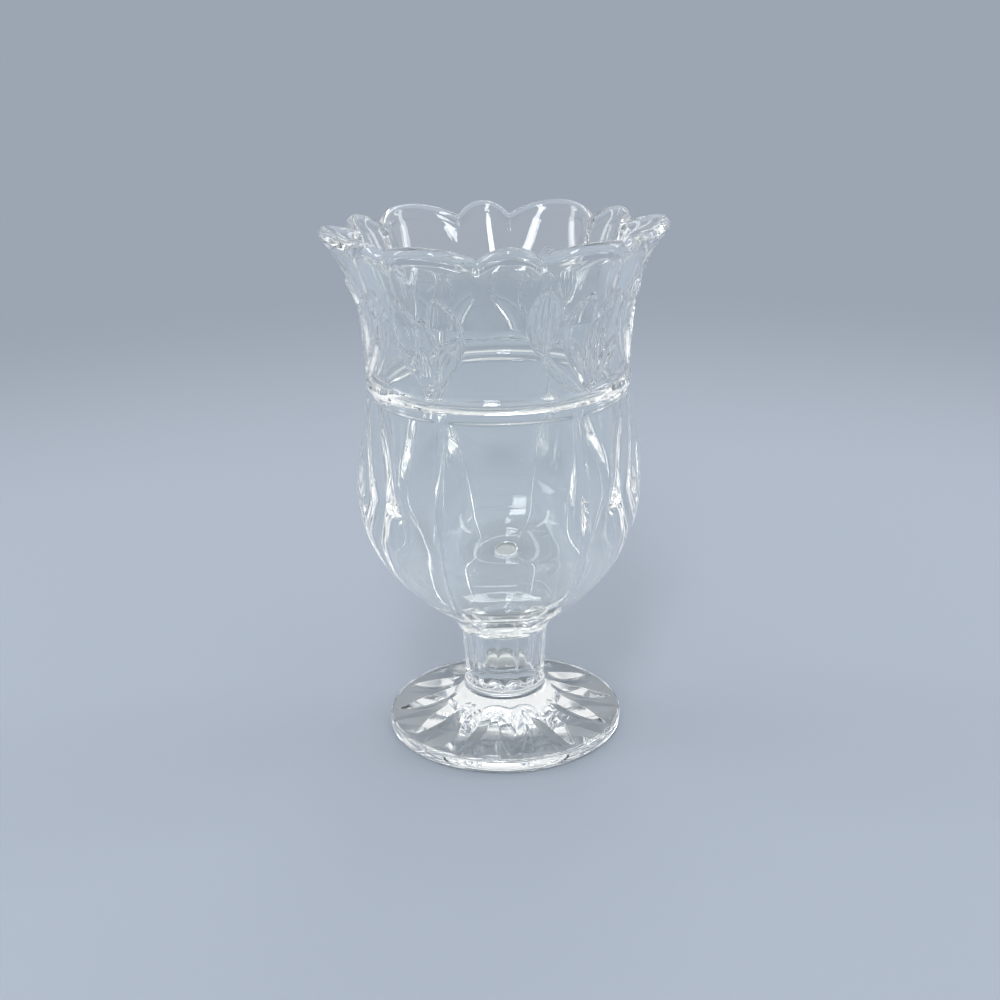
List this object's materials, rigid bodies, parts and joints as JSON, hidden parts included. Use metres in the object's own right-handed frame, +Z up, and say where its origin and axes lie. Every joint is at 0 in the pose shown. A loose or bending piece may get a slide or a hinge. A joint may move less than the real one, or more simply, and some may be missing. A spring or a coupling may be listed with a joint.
{
  "type": "hurricane vase",
  "caption": "Footed hurricane vase of clear pressed glass: scalloped flared neck with tulips, six-panelled bowl, fluted stem with a candle well, and a cut foot.",
  "frame": {"origin": "centre of the ring that the foot stands on, at the height of the table", "axes": "+Z up along the vase's axis; -Y faces the middle of one panel of the bowl, +X is to the right of someone who looks along +Y"},
  "size_m": [0.1374, 0.1306, 0.2156],
  "materials": {
    "clear_glass": "clear colourless pressed glass with a fire-polished surface"
  },
  "bodies": {
    "root": {"foot": "clear_glass", "stem": "clear_glass", "bowl": "clear_glass", "neck": "clear_glass"}
  },
  "joints": []
}
